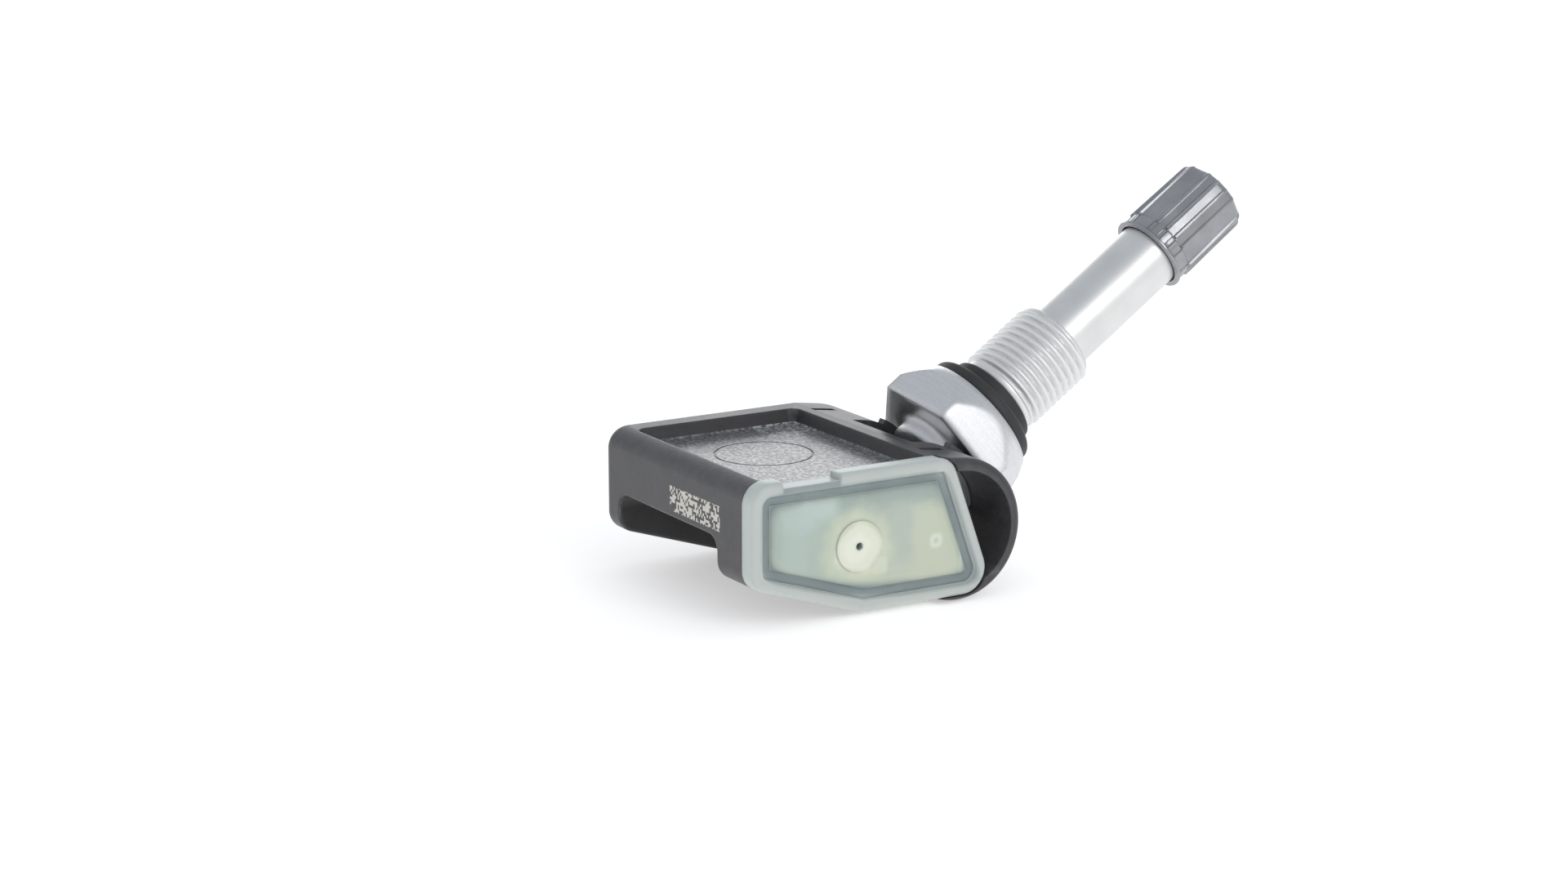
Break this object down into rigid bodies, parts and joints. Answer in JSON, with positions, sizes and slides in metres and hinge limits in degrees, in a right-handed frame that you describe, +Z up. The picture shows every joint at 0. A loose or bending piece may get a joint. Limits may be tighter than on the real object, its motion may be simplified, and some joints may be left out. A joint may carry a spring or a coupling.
{
  "type": "tyre pressure sensor",
  "caption": "Wheel-mounted tyre pressure sensor: moulded housing with a translucent cover that tilts on a clamp-in metal valve with a hexagon, rubber seal, threaded collar and dust cap.",
  "frame": {"origin": "on the valve's axis where the threaded collar starts, at the rim's seat on the rubber seal", "axes": "+X from the housing towards the valve, +Y along the tilt axis away from the cover, +Z up from the housing's keel to its top"},
  "size_m": [0.0765, 0.0342, 0.044],
  "materials": {
    "housing_plastic": "fine grained moulding",
    "cover_plastic": "frosted translucent",
    "board_laminate": "solder mask",
    "chip_package": "moulded",
    "soft_gasket": "matt",
    "cell_steel": "satin",
    "tab_steel": "bright",
    "ferrite": "sintered",
    "copper_wire": "enamelled",
    "crystal_can": "satin",
    "ceramic": "fired",
    "antenna_brass": "tinned",
    "nickel": "bright brushed",
    "stem_aluminium": "satin turned",
    "black_rubber": "matt",
    "clamp_steel": "zinc plated",
    "core_brass": "turned",
    "seal_rubber": "matt",
    "spring_wire": "drawn",
    "cap_plastic": "semi gloss"
  },
  "bodies": {
    "valve": {"hex_base": "nickel", "valve_stem": "stem_aluminium", "grommet": "black_rubber", "clamp_block": "clamp_steel", "core_barrel": "core_brass", "core_gasket": "seal_rubber", "core_spring": "spring_wire"},
    "sensor": {"housing": "housing_plastic", "end_cover": "cover_plastic", "circuit_board": "board_laminate", "sensor_chip": "chip_package", "port_gasket": "soft_gasket", "battery_cell": "cell_steel", "battery_tab_minus": "tab_steel", "battery_tab_plus": "tab_steel", "lf_coil_core": "ferrite", "lf_coil_winding": "copper_wire", "crystal": "crystal_can", "chip_capacitors": "ceramic", "antenna_strap": "antenna_brass"},
    "pin": {"core_pin": "core_brass", "core_cup_seal": "seal_rubber"},
    "cap_ring": {"cap_seal": "seal_rubber"},
    "cap": {"cap_shell": "cap_plastic"}
  },
  "joints": [
    {"name": "housing_tilt", "type": "hinge", "parent": "valve", "child": "sensor", "pos_m": [-0.01564, 0.0012, -0.01071], "axis": [0, 1, 0], "range_deg": [-15, 15]},
    {"name": "core_press", "type": "slide", "parent": "valve", "child": "pin", "axis": [-0.8251, 0, -0.565], "range_m": [0, 0.0015], "stiffness_N_per_m": 1500, "springref_m": -0.002, "deforming": ["core_spring"]},
    {"name": "cap_lift", "type": "slide", "parent": "valve", "child": "cap_ring", "axis": [0.8251, 0, 0.565], "range_m": [0, 0.004]},
    {"name": "cap_turn", "type": "hinge", "parent": "cap_ring", "child": "cap", "pos_m": [0.0297, 0, 0.02034], "axis": [0.8251, 0, 0.565], "range_deg": [0, 1815]}
  ],
  "couplings": [
    {"joint": "cap_turn", "follows": "cap_lift", "rad_per_m": 7913.3}
  ]
}
